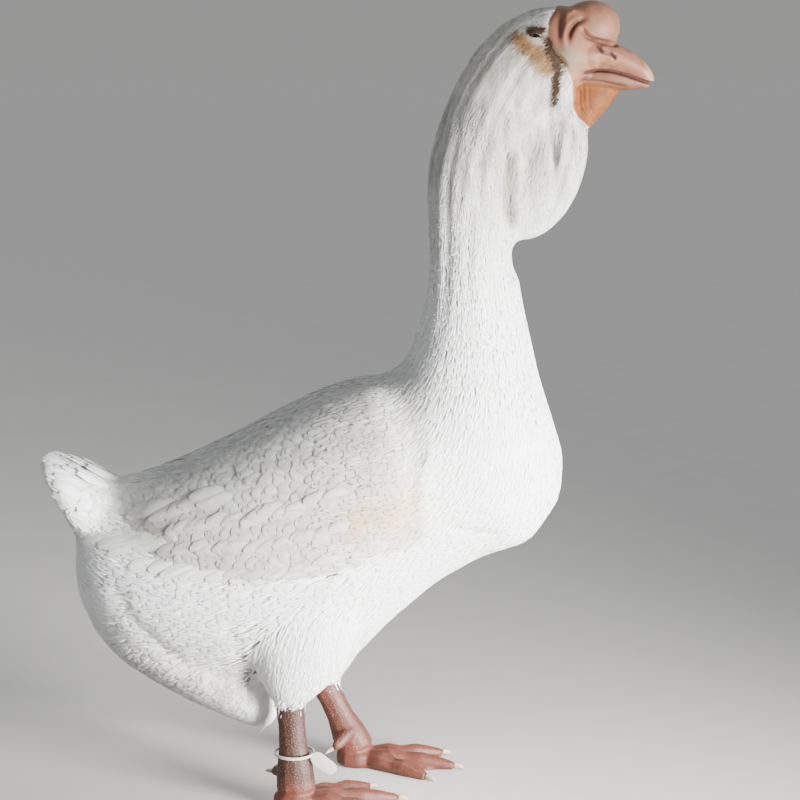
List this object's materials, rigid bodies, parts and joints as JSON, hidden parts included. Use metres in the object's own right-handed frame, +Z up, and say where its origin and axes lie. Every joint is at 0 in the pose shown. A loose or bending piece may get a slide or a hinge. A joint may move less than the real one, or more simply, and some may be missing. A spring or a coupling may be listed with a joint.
{
  "type": "domestic goose, still display model",
  "caption": "Life-size white lion-headed domestic gander standing still on both webbed feet, with a fleshy knob, dewlap and a leg band.",
  "frame": {"origin": "on the floor under the centre of the bird's bounding box", "axes": "+Z up, +X the way the bird faces, +Y to its left"},
  "size_m": [0.685, 0.2702, 0.902],
  "materials": {
    "feathers": "soft white contour feathers with faint grey shade between their tips",
    "wing_feathers": "firm white vanes, slightly soiled grey and straw yellow",
    "bare_face": "smooth pale peach skin and horn, satin",
    "pouch_skin": "bare orange skin, matt, finely wrinkled",
    "leg_skin": "pink brown scaly skin, satin",
    "claw_horn": "pale worn horn",
    "eye": "wet, dark brown iris and black pupil",
    "band_plastic": "off-white moulded nylon"
  },
  "bodies": {
    "root": {"rump": "feathers", "trunk": "feathers", "breast": "feathers", "neck_lower": "feathers", "neck_upper": "feathers", "head": "feathers", "thigh_L": "feathers", "thigh_R": "feathers", "paunch": "feathers", "tail": "feathers", "dewlap": "feathers", "wing_L": "wing_feathers", "wing_R": "wing_feathers", "knob": "bare_face", "cheek_fold_L": "bare_face", "cheek_fold_R": "bare_face", "cheek_lobe_L": "bare_face", "cheek_lobe_R": "bare_face", "bill_upper": "bare_face", "bill_lower": "bare_face", "gular_pouch": "pouch_skin", "shank_L": "leg_skin", "shank_R": "leg_skin", "foot_L": "leg_skin", "foot_R": "leg_skin", "foot_L_claw_outer": "claw_horn", "foot_L_claw_middle": "claw_horn", "foot_L_claw_inner": "claw_horn", "foot_L_claw_hind": "claw_horn", "foot_R_claw_outer": "claw_horn", "foot_R_claw_middle": "claw_horn", "foot_R_claw_inner": "claw_horn", "foot_R_claw_hind": "claw_horn", "eye_L": "eye", "eye_R": "eye", "leg_band": "band_plastic", "leg_tag": "band_plastic"}
  },
  "joints": []
}
